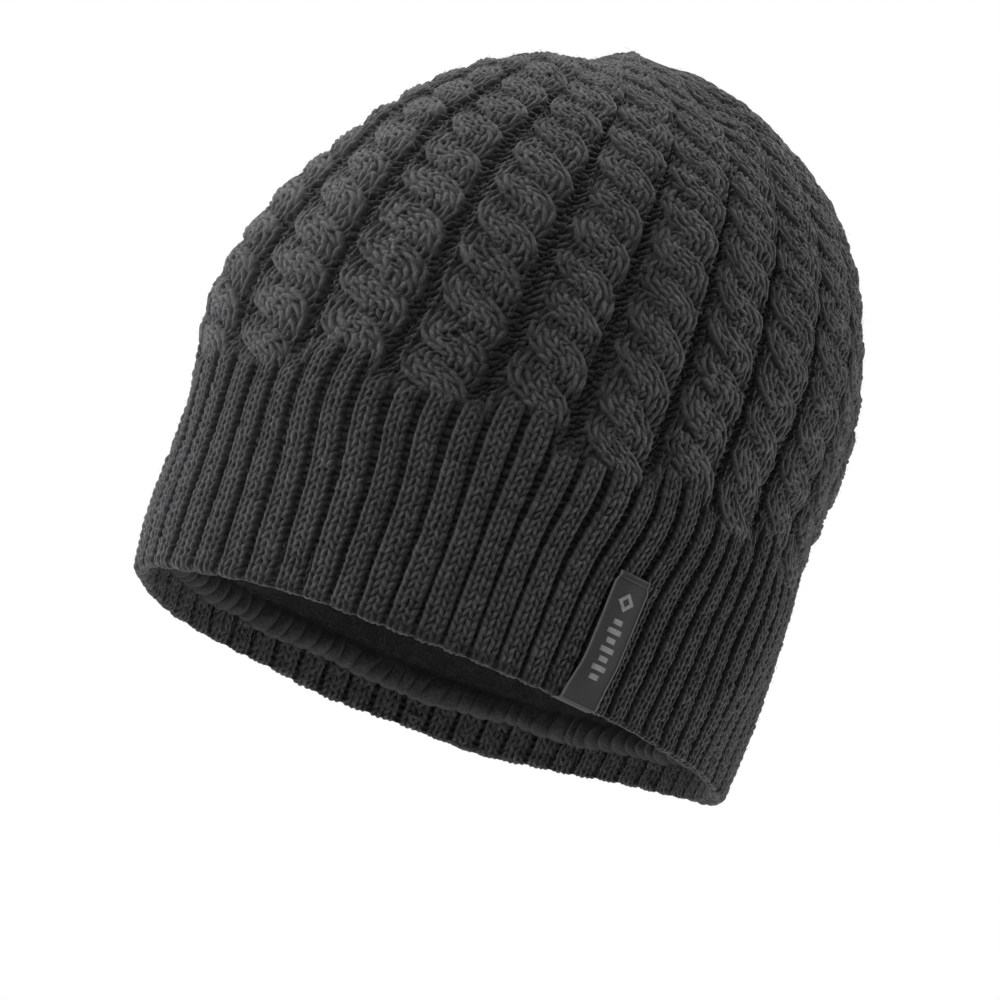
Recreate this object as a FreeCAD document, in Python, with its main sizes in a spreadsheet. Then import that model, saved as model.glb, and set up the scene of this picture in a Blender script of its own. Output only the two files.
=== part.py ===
"""Cable-knit beanie with a ribbed band, a fleece lining and a folded brim label.

Millimetres. +Z is up, the hat stands on its brim at Z = 0, and -Y is the front.
Every wall is the gap between two lofts through the same ellipses, the inner one
moved in by the layers outside it, so neighbouring layers keep an even gap.
"""
import FreeCAD
import Part
import math
import os

V = FreeCAD.Vector
Z_AXIS = V(0, 0, 1)
DOC = FreeCAD.newDocument("knit_beanie")
SHEET = DOC.addObject("Spreadsheet::Sheet", "sizes")

# Ellipses of the band's outer surface from the brim up: height, half width, sideways shift.
BAND_RINGS = [(0, 94.6, 2.6), (25, 97.0, 2.2), (50, 98.2, 0.6), (75, 98.0, -0.8)]
CROWN_RING_COUNT = 13
CROWN_LAST_SWING = 84.5
GATHER_PULL_START = 0.92
FULL_TURN = 360
BACK_TURN = 180

SIZES = [
    ("depth_ratio", 0.862, "front-to-back depth over width of every ellipse"),
    ("band_height", 75, "height of the ribbed band"),
    ("crown_widest_height", 98, "the dome's widest ring above the brim"),
    ("crown_half_width", 98.6, "the dome's widest ring, X half axis"),
    ("crown_top", 205, "height of the gathered edge at the crown"),
    ("crown_shoulder", 1.87, "exponent of height in the dome's outline"),
    ("crown_round", 1.92, "exponent of width in the dome's outline"),
    ("crown_lean", 8.5, "how far the dome's upper rings lean towards +X"),
    ("gather_pull", 19.5, "how far the gather draws the top rings back towards -X"),
    ("rib_thickness", 4.2, "wall of the 2 by 1 rib, crest to inside"),
    ("cable_thickness", 5.6, "wall of the cable knit, crest to inside"),
    ("gap", 0.3, "clearance between separate layers"),
    ("fleece_thickness", 2.8, "doubled fleece of the lining"),
    ("fleece_bottom", 10, "lower edge of the lining above the brim"),
    ("fleece_top", 62, "upper edge of the lining above the brim"),
    ("label_width", 11.4, "woven label tape"),
    ("label_thickness", 0.6, "woven label tape"),
    ("label_stand_off", 0.95, "outer leg off the brim, because the rib bulges between its ends"),
    ("label_front_height", 41.5, "outer leg of the folded label"),
    ("label_back_height", 8.6, "inner leg of the folded label"),
    ("label_turn", 27.4, "degrees round the brim from the front towards +X"),
    ("label_end_fold", 1.7, "height of the turned-under end of the label"),
    ("label_selvedge", 0.8, "edge of the tape that the thread bars keep clear of"),
    ("label_seam_drop", 0.9, "first thread bar below the outer leg's end"),
    ("label_back_seam_drop", 1.4, "thread bar below the inner leg's end"),
    ("care_width", 24, "care label across"),
    ("care_height", 34, "care label below its stitching"),
    ("care_thickness", 0.4, "care label ribbon"),
    ("care_tab_thickness", 0.6, "the ribbon's sewn end, folded double"),
    ("care_stand_off", 2.6, "care label's face in from the lining"),
    ("care_hinge_height", 60.4, "care label's sewn edge above the brim"),
    ("care_turn", 90, "degrees round the band from the front towards +X, the wearer's left"),
    ("care_stitch_count", 6, "stitches across the care label's tab"),
    ("care_stitch_length", 2.9, "one stitch across the care label's tab"),
    ("care_stitch_reach", 1.56, "stitches in from the lining's face"),
    ("thread_radius", 0.35, "sewing thread as it stands in a seam"),
    ("lining_stitch_count", 84, "stitches round one lining seam"),
    ("lining_stitch_length", 4.2, "one stitch of the lining seams"),
    ("lower_seam_height", 18, "lower lining seam above the brim"),
    ("upper_seam_height", 58, "upper lining seam above the brim"),
    ("join_pitch", 4.2, "climb of one leg of the zigzag that joins the lining's ends"),
    ("join_leg_climb", 3.36, "height of one zigzag stitch"),
    ("join_half_width", 1.6, "the zigzag to each side of the centre back"),
    ("join_clearance", 2, "zigzag clear of the lining seams above and below"),
    ("yarn_radius", 1.1, "knitting yarn"),
    ("seam_loop_radius", 0.88, "yarn of a linking loop, drawn tight"),
    ("seam_loop_length", 3.52, "one linking loop across the seam"),
    ("back_seam_pitch", 5.1, "linking loops up the centre back"),
    ("back_seam_start", 4, "first linking loop above the brim"),
    ("crown_seam_loops", 24, "linking loops from the dome's widest ring to the gather"),
    ("crown_seam_swing", 74, "degrees up the dome where the seam runs into the gather"),
    ("gather_radius", 3.4, "loop of yarn that draws the crown shut"),
    ("gather_depth", 2.2, "gathering loop below the top edge"),
    ("knot_radius", 1.9, "knot in the middle of the gather"),
    ("notch_cutter_depth", 12.6, "cutter for the notch under the brim, through the wall"),
    ("hole_cutter_length", 22.4, "cutter for the hole in the gather, through the wall"),
    ("slab_side", 300, "cutting slab that gives the lining its level edges"),
]


def fill_sheet():
    """Write the driving sizes as named cells, one per row."""
    rows = list(SIZES)
    for i, (height, half_width, shift) in enumerate(BAND_RINGS):
        rows.append((f"band_ring_{i}_height", height, "outer ellipse above the brim"))
        rows.append((f"band_ring_{i}_half_width", half_width, "outer ellipse, X half axis"))
        rows.append((f"band_ring_{i}_shift", shift, "outer ellipse's centre along X"))
    for row, (alias, value, note) in enumerate(rows, start=1):
        SHEET.set(f"A{row}", alias)
        SHEET.set(f"B{row}", str(value))
        SHEET.set(f"C{row}", note)
        SHEET.setAlias(f"B{row}", alias)
    DOC.recompute()


def size(alias):
    """The value of one named cell."""
    return float(getattr(SHEET, alias))


def add(kind, name, **bindings):
    """A document object whose properties follow the given expressions."""
    obj = DOC.addObject(kind, name)
    for prop, expression in bindings.items():
        obj.setExpression(prop.replace("__", "."), expression)
    return obj


def band_rings():
    """Height, half width and shift of each band ellipse, as expressions."""
    rings = []
    for i in range(len(BAND_RINGS)):
        ring = f"sizes.band_ring_{i}"
        rings.append((f"{ring}_height", f"{ring}_half_width", f"{ring}_shift"))
    return rings


def crown_climb(i):
    """How far up the dome ring i stands, from 0 at the widest ring to nearly 1 at the gather."""
    return math.sin(math.radians(CROWN_LAST_SWING * i / (CROWN_RING_COUNT - 1)))


def gather_share(climb):
    """How much of the gather's sideways pull a ring at this climb takes."""
    return (max(0.0, climb - GATHER_PULL_START) / (1 - GATHER_PULL_START)) ** 2


def crown_rings():
    """Height, half width and shift of each dome ellipse, as expressions, from the band's top up."""
    rings = [band_rings()[-1]]
    for i in range(CROWN_RING_COUNT):
        climb = f"{crown_climb(i):.5f}"
        pull = f"sizes.gather_pull * {gather_share(crown_climb(i)):.5f}"
        rings.append((
            f"sizes.crown_widest_height + (sizes.crown_top - sizes.crown_widest_height) * {climb}",
            f"sizes.crown_half_width * (1 - {climb} ^ sizes.crown_shoulder) ^ (1 / sizes.crown_round)",
            f"sizes.band_ring_3_shift + sizes.crown_lean * {climb} ^ 2 - {pull}",
        ))
    return rings


def crown_at(climb):
    """The same dome ellipse as plain numbers: height, half width and shift."""
    rise = size("crown_top") - size("crown_widest_height")
    narrowing = (1 - climb ** size("crown_shoulder")) ** (1 / size("crown_round"))
    half_width = size("crown_half_width") * narrowing
    pull = size("gather_pull") * gather_share(climb)
    shift = size("band_ring_3_shift") + size("crown_lean") * climb ** 2 - pull
    return size("crown_widest_height") + rise * climb, half_width, shift


def envelope(name, rings, inset, drop="0"):
    """A solid through the given ellipses, moved in by inset and, up the dome, down by drop."""
    sections = []
    for i, (height, half_width, shift) in enumerate(rings):
        climb = f"({height} - sizes.band_height) / (sizes.crown_top - sizes.band_height)"
        sections.append(add(
            "Part::Ellipse", f"{name}_{i}",
            MajorRadius=f"{half_width} - ({inset})",
            MinorRadius=f"{half_width} * sizes.depth_ratio - ({inset})",
            Placement__Base__x=shift,
            Placement__Base__z=f"{height} - ({drop}) * {climb}",
        ))
    loft = DOC.addObject("Part::Loft", name)
    loft.Sections = sections
    loft.Solid = True
    loft.Ruled = True
    return loft


def cut(name, base, tool):
    obj = DOC.addObject("Part::Cut", name)
    obj.Base = base
    obj.Tool = tool
    return obj


def common(name, base, tool):
    obj = DOC.addObject("Part::Common", name)
    obj.Base = base
    obj.Tool = tool
    return obj


def band_at(height, inset):
    """Half axes and sideways shift of the band's surface at a height, moved in by inset."""
    for (z0, w0, s0), (z1, w1, s1) in zip(BAND_RINGS, BAND_RINGS[1:]):
        if z0 <= height <= z1:
            t = (height - z0) / (z1 - z0)
            half_width = w0 + t * (w1 - w0)
            shift = s0 + t * (s1 - s0)
            return half_width - inset, half_width * size("depth_ratio") - inset, shift
    raise ValueError(height)


def place_on_band(height, inset, turn_degrees):
    """Point, outward direction and along direction on the band, turned from the front towards +X."""
    half_x, half_y, shift = band_at(height, inset)
    turn = math.radians(turn_degrees)
    point = V(shift + half_x * math.sin(turn), -half_y * math.cos(turn), height)
    outward = V(math.sin(turn) / half_x, -math.cos(turn) / half_y, 0)
    outward.normalize()
    return point, outward, Z_AXIS.cross(outward)


def feature(name, shape):
    obj = DOC.addObject("Part::Feature", name)
    obj.Shape = shape
    return obj


def thread(start, end, radius):
    """One straight stitch of thread."""
    return Part.makeCylinder(radius, (end - start).Length, start, end - start)


def on_wall(along, outward, corner):
    """Placement that turns local X along the wall and local Y into the hat, with Z up."""
    matrix = FreeCAD.Matrix()
    for column, axis in enumerate((along, outward * -1, Z_AXIS), start=1):
        setattr(matrix, f"A1{column}", axis.x)
        setattr(matrix, f"A2{column}", axis.y)
        setattr(matrix, f"A3{column}", axis.z)
    placement = FreeCAD.Placement(matrix)
    placement.Base = corner
    return placement


def outer_label_lean():
    """Degrees that the band leans out over the label's outer leg."""
    low, _, _ = place_on_band(0, 0, size("label_turn"))
    high, outward, _ = place_on_band(size("label_front_height"), 0, size("label_turn"))
    return math.degrees(math.atan2((high - low).dot(outward), size("label_front_height")))


def label_frame():
    """Origin on the band's outer surface at the brim, with the label's outward and along directions."""
    return place_on_band(0, 0, size("label_turn"))


def make_ribbed_band():
    """2 by 1 ribbed wall, pressed in a little where the label tape passes under the brim."""
    outer = envelope("band_outer", band_rings(), "0")
    inner = envelope("band_inner", band_rings(), "sizes.rib_thickness")
    wall = cut("band_wall", outer, inner)
    notch = add(
        "Part::Box", "label_notch",
        Length="sizes.label_width + 2 * sizes.gap",
        Width="sizes.notch_cutter_depth",
        Height="sizes.label_thickness + 2 * sizes.gap",
    )
    origin, outward, along = label_frame()
    corner = origin - along * (size("label_width") / 2 + size("gap")) + outward * size("rib_thickness")
    notch.Placement = on_wall(along, outward, corner)
    return cut("ribbed_band", wall, notch)


def make_cable_crown():
    """Cable-knit dome with the small hole that the last stitches are gathered round."""
    outer = envelope("crown_outer", crown_rings(), "0")
    inner = envelope("crown_inner", crown_rings()[:-1], "sizes.cable_thickness", "sizes.cable_thickness")
    wall = cut("crown_wall", outer, inner)
    hole = add(
        "Part::Cylinder", "gather_hole",
        Radius="sizes.gather_radius + sizes.yarn_radius + sizes.gap",
        Height="sizes.hole_cutter_length",
    )
    hole.Placement.Base = pole(-size("hole_cutter_length") / 2)
    return cut("cable_crown", wall, hole)


def pole(rise):
    """Centre of the gathered point, at a height above the crown's top edge."""
    top, _, shift = crown_at(crown_climb(CROWN_RING_COUNT - 1))
    return V(shift, 0, top + rise)


def lining_inset(extra):
    return f"sizes.rib_thickness + sizes.gap + {extra}"


def make_fleece_lining():
    """Doubled fleece band inside the rib, clear of the turned-in brim below it."""
    outer = envelope("fleece_outer", band_rings(), lining_inset("0"))
    inner = envelope("fleece_inner", band_rings(), lining_inset("sizes.fleece_thickness"))
    slab = add(
        "Part::Box", "fleece_slab",
        Length="sizes.slab_side",
        Width="sizes.slab_side",
        Height="sizes.fleece_top - sizes.fleece_bottom",
        Placement__Base__x="-sizes.slab_side / 2",
        Placement__Base__y="-sizes.slab_side / 2",
        Placement__Base__z="sizes.fleece_bottom",
    )
    return common("fleece_lining_band", cut("fleece_wall", outer, inner), slab)


def lining_face_inset():
    return size("rib_thickness") + size("gap") + size("fleece_thickness")


def make_lining_seam(name, height):
    """A ring of separate stitches on the lining's inner face, each half sunk into the fleece."""
    count = int(size("lining_stitch_count"))
    stitches = []
    for i in range(count):
        point, _, along = place_on_band(height, lining_face_inset(), FULL_TURN * i / count)
        half = along * size("lining_stitch_length") / 2
        stitches.append(thread(point - half, point + half, size("thread_radius")))
    return feature(name, Part.makeCompound(stitches))


def make_lining_join():
    """Zigzag that joins the two ends of the fleece strip at the centre back."""
    low = size("lower_seam_height") + size("join_clearance")
    high = size("upper_seam_height") - size("join_clearance")
    count = int((high - low) / size("join_pitch"))
    stitches = []
    for i in range(count):
        side = 1 if i % 2 else -1
        z = low + i * size("join_pitch")
        point, _, along = place_on_band(z, lining_face_inset(), BACK_TURN)
        above, _, _ = place_on_band(z + size("join_leg_climb"), lining_face_inset(), BACK_TURN)
        across = along * side * size("join_half_width")
        stitches.append(thread(point - across, above + across, size("thread_radius")))
    return feature("lining_join_stitching", Part.makeCompound(stitches))


def back_seam_points():
    """Points up the knit's inner face at the centre back, where the lining leaves it bare."""
    points = []
    hidden_from = size("fleece_bottom") - size("yarn_radius")
    hidden_to = size("fleece_top") + size("yarn_radius")
    z = size("back_seam_start")
    while z < size("band_height"):
        if not hidden_from < z < hidden_to:
            points.append(place_on_band(z, size("rib_thickness"), BACK_TURN)[0])
        z += size("back_seam_pitch")
    steps = int(size("crown_seam_loops"))
    for i in range(steps):
        height, half_width, shift = crown_at(math.sin(math.radians(size("crown_seam_swing") * i / steps)))
        thick = size("cable_thickness")
        climbed = (height - size("band_height")) / (size("crown_top") - size("band_height"))
        points.append(V(shift, half_width * size("depth_ratio") - thick, height - thick * climbed))
    return points


def make_back_seam():
    """Linking loops of yarn that close the knitted piece up the centre back, seen only inside."""
    half = V(size("seam_loop_length") / 2, 0, 0)
    radius = size("seam_loop_radius")
    loops = [thread(point - half, point + half, radius) for point in back_seam_points()]
    return feature("back_seam_yarn", Part.makeCompound(loops))


def make_woven_label():
    """Woven tape folded round the brim: outer leg, strip under the edge and a short inner leg."""
    origin, outward, along = label_frame()
    half_width = along * size("label_width") / 2
    gap = size("gap")
    thick = size("label_thickness")
    front = add(
        "Part::Box", "label_front_leg",
        Length="sizes.label_width", Width="sizes.label_thickness", Height="sizes.label_front_height")
    face = outward * (size("label_stand_off") + thick)
    front.Placement = on_wall(along, outward, origin - half_width + face)
    lean = FreeCAD.Rotation(along, outer_label_lean())
    front.Placement.Rotation = lean.multiply(front.Placement.Rotation)
    under = add(
        "Part::Box", "label_under_brim",
        Length="sizes.label_width",
        Width="sizes.label_stand_off + sizes.rib_thickness + sizes.gap + 2 * sizes.label_thickness",
        Height="sizes.label_thickness")
    under.Placement = on_wall(along, outward, origin - half_width + face)
    back = add(
        "Part::Box", "label_back_leg",
        Length="sizes.label_width", Width="sizes.label_thickness", Height="sizes.label_back_height")
    back.Placement = on_wall(along, outward, origin - half_width - outward * (size("rib_thickness") + gap))
    label = DOC.addObject("Part::MultiFuse", "woven_label")
    label.Shapes = [front, under, back]
    return label


def make_label_stitching():
    """Thread bars across the label: two over its turned-under top end and one on the inner leg."""
    origin, outward, along = label_frame()
    lean = math.tan(math.radians(outer_label_lean()))
    reach = along * (size("label_width") / 2 - size("label_selvedge"))
    first_drop = size("label_seam_drop")
    bars = []
    for drop in (first_drop, first_drop + size("label_end_fold")):
        z = size("label_front_height") - drop
        face = size("label_stand_off") + size("label_thickness") + lean * z
        centre = origin + outward * face + Z_AXIS * z
        bars.append(thread(centre - reach, centre + reach, size("thread_radius")))
    z = size("label_back_height") - size("label_back_seam_drop")
    face = size("rib_thickness") + size("gap") + size("label_thickness")
    centre = origin - outward * face + Z_AXIS * z
    bars.append(thread(centre - reach, centre + reach, size("thread_radius")))
    return feature("label_stitching", Part.makeCompound(bars))


def care_frame():
    """Middle of the care label's sewn edge, with the directions into the hat and along the wall."""
    return place_on_band(size("care_hinge_height"), lining_face_inset(), size("care_turn"))


def make_care_label():
    """Ribbon flap that hangs freely inside the hat from its sewn upper edge."""
    point, outward, along = care_frame()
    flap = add(
        "Part::Box", "care_label",
        Length="sizes.care_width", Width="sizes.care_thickness", Height="sizes.care_height")
    corner = point - along * size("care_width") / 2 - outward * size("care_stand_off")
    flap.Placement = on_wall(along, outward, corner - Z_AXIS * size("care_height"))
    return flap


def make_care_tab():
    """The care label's sewn end: a short turned-in tab between the flap's edge and the lining."""
    point, outward, along = care_frame()
    tab = add(
        "Part::Box", "care_label_tab",
        Length="sizes.care_width",
        Width="sizes.care_stand_off + sizes.care_thickness",
        Height="sizes.care_tab_thickness",
    )
    corner = point - along * size("care_width") / 2
    tab.Placement = on_wall(along, outward, corner + Z_AXIS * size("gap"))
    return tab


def make_care_stitching():
    """Short stitches through the care label's tab into the lining."""
    point, outward, along = care_frame()
    count = int(size("care_stitch_count"))
    spacing = size("care_width") / count
    tab_top = size("gap") + size("care_tab_thickness")
    stitches = []
    for i in range(count):
        middle = point + along * (i - (count - 1) / 2) * spacing + Z_AXIS * tab_top
        half = along * size("care_stitch_length") / 2
        seat = middle - outward * size("care_stitch_reach")
        stitches.append(thread(seat - half, seat + half, size("thread_radius")))
    return feature("care_label_stitching", Part.makeCompound(stitches))


def make_gather_yarn():
    """Loop of yarn that runs through the last stitches and draws the crown shut."""
    loop = add(
        "Part::Torus", "crown_gather_yarn",
        Radius1="sizes.gather_radius", Radius2="sizes.yarn_radius")
    loop.Placement.Base = pole(-size("gather_depth"))
    return loop


def make_knot():
    """Knot that ties off the gathering yarn, its tails worked away into the crown."""
    knot = add("Part::Sphere", "crown_knot", Radius="sizes.knot_radius")
    knot.Placement.Base = pole(-size("gather_depth"))
    return knot


def check_document():
    """Stop if any object failed to compute."""
    DOC.recompute()
    for obj in DOC.Objects:
        if "Invalid" in obj.State or "Error" in obj.State:
            raise RuntimeError(f"{obj.Label}: {obj.State}")


def export(parts):
    os.makedirs("parts", exist_ok=True)
    for obj in parts:
        shape = obj.Shape
        if shape.isNull() or not shape.isValid() or not shape.Solids:
            raise RuntimeError(f"{obj.Label} has no valid solid")
        box = shape.BoundBox
        print(
            f"{obj.Label}: {len(shape.Solids)} solids, {shape.Volume:.0f} mm3, "
            f"x {box.XMin:.1f} to {box.XMax:.1f}, y {box.YMin:.1f} to {box.YMax:.1f}, "
            f"z {box.ZMin:.2f} to {box.ZMax:.2f}")
        shape.exportStep(f"parts/{obj.Label}.step")


def main():
    fill_sheet()
    parts = [
        make_ribbed_band(),
        make_cable_crown(),
        make_fleece_lining(),
        make_lining_seam("lining_lower_stitching", size("lower_seam_height")),
        make_lining_seam("lining_upper_stitching", size("upper_seam_height")),
        make_lining_join(),
        make_back_seam(),
        make_woven_label(),
        make_label_stitching(),
        make_care_label(),
        make_care_tab(),
        make_care_stitching(),
        make_gather_yarn(),
        make_knot(),
    ]
    check_document()
    export(parts)


main()
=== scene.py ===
"""Looks of the cable-knit beanie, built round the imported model's frame.

The shapes are worked out in millimetres in the model's own frame (+Z up, -Y the front, +X the
wearer's left) and turned into metres as each mesh is made.
"""
import math

import bpy
import numpy as np
from mathutils import Matrix, Vector


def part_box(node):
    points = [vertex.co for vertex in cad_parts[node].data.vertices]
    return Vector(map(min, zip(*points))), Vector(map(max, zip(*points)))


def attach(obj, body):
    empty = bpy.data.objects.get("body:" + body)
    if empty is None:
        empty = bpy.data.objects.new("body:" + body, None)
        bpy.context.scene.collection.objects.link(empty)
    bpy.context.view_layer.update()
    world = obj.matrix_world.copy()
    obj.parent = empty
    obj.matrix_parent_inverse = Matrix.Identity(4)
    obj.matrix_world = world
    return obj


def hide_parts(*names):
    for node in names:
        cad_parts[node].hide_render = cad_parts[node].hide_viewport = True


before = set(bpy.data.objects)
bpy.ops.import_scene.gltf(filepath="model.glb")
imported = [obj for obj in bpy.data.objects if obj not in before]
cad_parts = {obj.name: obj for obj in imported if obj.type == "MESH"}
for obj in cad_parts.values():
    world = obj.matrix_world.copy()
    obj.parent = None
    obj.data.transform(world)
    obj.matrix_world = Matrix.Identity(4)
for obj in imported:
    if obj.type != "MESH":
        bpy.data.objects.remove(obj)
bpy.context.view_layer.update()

MM = 0.001
TAU = 2 * math.pi


def corners(node):
    """Lowest and highest corner of a CAD node, in millimetres."""
    low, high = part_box(node)
    return np.array(low) / MM, np.array(high) / MM


# ---- the hat's outline, in millimetres

BAND_TOP = corners("ribbed_band")[1][2]
CROWN_LOW, CROWN_HIGH = corners("cable_crown")
CROWN_HALF = (CROWN_HIGH[0] - CROWN_LOW[0]) / 2
CROWN_SHIFT = (CROWN_HIGH[0] + CROWN_LOW[0]) / 2
DEPTH_RATIO = (CROWN_HIGH[1] - CROWN_LOW[1]) / (CROWN_HIGH[0] - CROWN_LOW[0])
CROWN_TOP = CROWN_HIGH[2] + 0.5
KNOT = sum(corners("crown_knot")) / 2
POLE_X = KNOT[0]
# The band's rings: height and half width as shares of the band's top and the crown's half width,
# and the sideways shift.
BAND_RINGS = ((0.0, 0.9594, 2.6), (0.333, 0.9838, 2.2), (0.667, 0.9959, 0.6), (1.0, 0.9939, -0.8))
WIDEST = 98.0  # height of the dome's widest ring
SHOULDER, ROUNDNESS = 1.87, 1.92  # exponents of height and width in the dome's outline
LEAN = 8.5  # how far the dome's upper rings lean towards +X
PULL_START = 0.92  # share of the dome's height from which the gather draws the rings to the pole
WALL = 4.2  # the rib from its crest to its inside
CROWN_WALL = 5.2
OUTLINE_STEP = 0.25
EASING = 60  # samples to each side that ease a sample of the outline
UP = np.array([0.0, 0.0, 1.0])


def smoothstep(low, high, value):
    t = np.clip((value - low) / (high - low), 0, 1)
    return t * t * (3 - 2 * t)


def unit(vectors):
    """The vectors with their lengths made 1."""
    return vectors / np.maximum(np.linalg.norm(vectors, axis=-1, keepdims=True), 1e-9)


def outline():
    """The outer line from the brim to the gathered point: run, height, half width and shift."""
    climb = np.sin(np.radians(np.linspace(0, 89.2, 500)))
    last_pull = CROWN_SHIFT + LEAN - POLE_X
    pull = last_pull * (np.maximum(0, climb - PULL_START) / (1 - PULL_START)) ** 2
    heights, halves, shifts = (np.array(column) for column in zip(*BAND_RINGS))
    dome = CROWN_HALF * (1 - climb ** SHOULDER) ** (1 / ROUNDNESS)
    height = np.r_[heights * BAND_TOP, WIDEST + (CROWN_TOP - WIDEST) * climb]
    half = np.r_[halves * CROWN_HALF, dome]
    shift = np.r_[shifts, CROWN_SHIFT + LEAN * climb ** 2 - pull]
    run = np.r_[0, np.cumsum(np.hypot(np.diff(height), np.diff(half)))]
    even = np.arange(0, run[-1], OUTLINE_STEP)
    kernel = np.exp(-0.5 * (np.arange(-EASING, EASING + 1) / 20) ** 2)
    kernel /= kernel.sum()
    lines = []
    for line in (height, half, shift):
        sampled = np.interp(even, run, line)
        before = 2 * sampled[0] - sampled[EASING:0:-1]
        after = 2 * sampled[-1] - sampled[-2:-2 - EASING:-1]
        eased = np.convolve(np.r_[before, sampled, after], kernel, "valid")
        lines.append(np.where(even < run[len(BAND_RINGS)] + 20, eased, sampled))
    return even, *lines


RUN, HEIGHT, HALF, SHIFT = outline()
FULL_RUN = float(RUN[-1])


def low_outline(height):
    """Half width and sideways shift of the outline at heights up to its widest ring."""
    low = HEIGHT <= WIDEST
    return np.interp(height, HEIGHT[low], HALF[low]), np.interp(height, HEIGHT[low], SHIFT[low])


# ---- stitches round the hat

RIBS = 63
CABLES = 21
COLUMNS_PER_RIB = 24
COLUMNS = RIBS * COLUMNS_PER_RIB
RIB_AT_FRONT = 12.08  # rib count at the middle of the front
BAND_ROWS = 29
BAND_ROW = BAND_TOP / BAND_ROWS
CABLE_CROSSING = 12.8  # rise from one crossing of a cable to the next
FIRST_CROSSING = 79.9
STAGGER = 7.6  # how much lower every other cable starts
ROWS_PER_CROSSING = 5
FINE_TURNS = np.linspace(-math.pi, math.pi, 8001)

rng = np.random.default_rng(20)


def rib_count_at(turn):
    """Ribs from the left of the front to an angle round the hat, wider on the wearer's right."""
    pace = np.hypot(np.cos(FINE_TURNS), DEPTH_RATIO * np.sin(FINE_TURNS))
    arc = np.r_[0, np.cumsum((pace[1:] + pace[:-1]) / 2)]
    arc = (arc - np.interp(0, FINE_TURNS, arc)) / arc[-1]
    crowding = 2.9 * (1 - np.exp(-0.569 * turn ** 2)) + 0.34 * np.sin(turn)
    return RIBS * np.interp(turn, FINE_TURNS, arc) + RIB_AT_FRONT + crowding


def turn_of_ribs(ribs):
    """The angle round the hat at which each rib count stands."""
    count = rib_count_at(FINE_TURNS)
    wrapped = np.mod(ribs - count[0], RIBS) + count[0]
    return np.interp(wrapped, count, FINE_TURNS)


def spline_weights(count, knots, closed):
    """Cubic B-spline weights of each of count samples on a row of random knots."""
    at = np.arange(count) * (knots if closed else knots - 3) / count
    base = np.floor(at).astype(int)
    t = at - base
    middle = 3 * t ** 3 - 6 * t ** 2 + 4
    parts = ((1 - t) ** 3, middle, -3 * t ** 3 + 3 * t ** 2 + 3 * t + 1, t ** 3)
    weights = np.zeros((count, knots))
    for step, part in enumerate(parts):
        weights[np.arange(count), (base + step) % knots] += part / 6
    return weights


def noise_field(rows, row_knots, column_knots, columns=COLUMNS):
    """Smooth random field that closes on itself round the hat, about -1 to 1."""
    grid = rng.normal(size=(row_knots + 3, column_knots))
    down = spline_weights(rows, row_knots + 3, False)
    across = spline_weights(columns, column_knots, True)
    return 1.6 * down @ grid @ across.T


# ---- stitch shapes

def knit_stitch(across, along, lean=0.0):
    """Height from 0 to 1 of a V of yarn, across its wale from -0.5 to 0.5 and along in rows."""
    top = np.zeros(np.broadcast(across, along).shape)
    part = along - np.floor(along)
    for rise in (part, part + 1):
        arch = np.sin(np.pi * np.clip((rise + 0.08) / 1.66, 0, 1))
        half_width = 0.21 * arch ** 0.45 + 1e-4
        for side in (-1, 1):
            offset = (across - side * (0.075 + 0.26 * rise) - lean * rise) / half_width
            body = np.clip(1 - offset ** 2, 0, 1) ** 0.85
            top = np.maximum(top, (0.04 + 0.96 * arch ** 0.9) * body)
    return top


def purl_stitch(across, along):
    """Height from 0 to 1 of the bricked arcs on a purl wale."""
    top = np.zeros(np.broadcast(across, along).shape)
    for slip, bow, scale in ((0.0, 0.18, 1.0), (0.5, -0.18, 0.8)):
        a = np.mod(across + slip + 0.5, 1) - 0.5
        b = np.mod(along + slip - bow * (1 - 4 * a ** 2) + 0.5, 1) - 0.5
        top = np.maximum(top, scale * np.sqrt(np.clip(1 - (a / 0.47) ** 2 - (b / 0.26) ** 2, 0, 1)))
    return top


def pick(table, rows, columns):
    """Values of a random table of stitches, by whole row and column numbers that may wrap."""
    row, column = rows.astype(int), columns.astype(int)
    return table[np.mod(row, table.shape[0]), np.mod(column, table.shape[1])]


KNIT_JITTER = rng.normal(size=(128, 2 * RIBS))
PURL_JITTER = rng.normal(size=(128, RIBS))


def rib_relief(ribs, along, depth, calm, narrow):
    """Height of the 2 by 1 rib under its crest line, in millimetres, and its tone from 0 to 1,
    which is painted shade with a random tone per stitch.
    """
    from_middle = (ribs - np.floor(ribs) - 0.5) * 3 * narrow
    reach = np.abs(from_middle)
    wale = 2 * np.floor(ribs) + (from_middle > 0)
    row = np.floor(along)
    lift = pick(KNIT_JITTER, row, wale)
    lean = 0.05 * pick(KNIT_JITTER, row + 31, wale)
    inside = np.clip(reach / 1.22, 0, 1.3) - 0.5
    stitch = knit_stitch(inside, along + 0.09 * pick(KNIT_JITTER, wale, wale + 7), lean)
    body = -0.35 * (from_middle / 1.2) ** 2 - 0.22 * np.exp(-(from_middle / 0.14) ** 2)
    body = body - depth * smoothstep(0.9, 1.46, reach)
    crest = body - (0.9 * (1 - stitch) - 0.14 * lift) * calm
    purl_lift = pick(PURL_JITTER, row, np.floor(ribs + 0.5))
    bumps = purl_stitch((reach - 1.5 * narrow) / 0.8, along + 0.14 * purl_lift)
    floor = -depth - (0.95 - 0.8 * bumps - 0.12 * purl_lift) * calm
    # Painted shade: the tone darkens down the rib's sides and between the stitches' legs, and the
    # purl gutters between ribs are painted nearly black; lift adds a random tone per stitch.
    tone = np.clip(1 + body / (depth + 0.8), 0, 1) * (0.12 + 0.8 * stitch) + 0.06 * lift
    tone = np.where(crest > floor, tone, 0.01 + 0.18 * bumps)
    return np.maximum(crest, floor), np.clip(tone, 0, 1.2)


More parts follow.
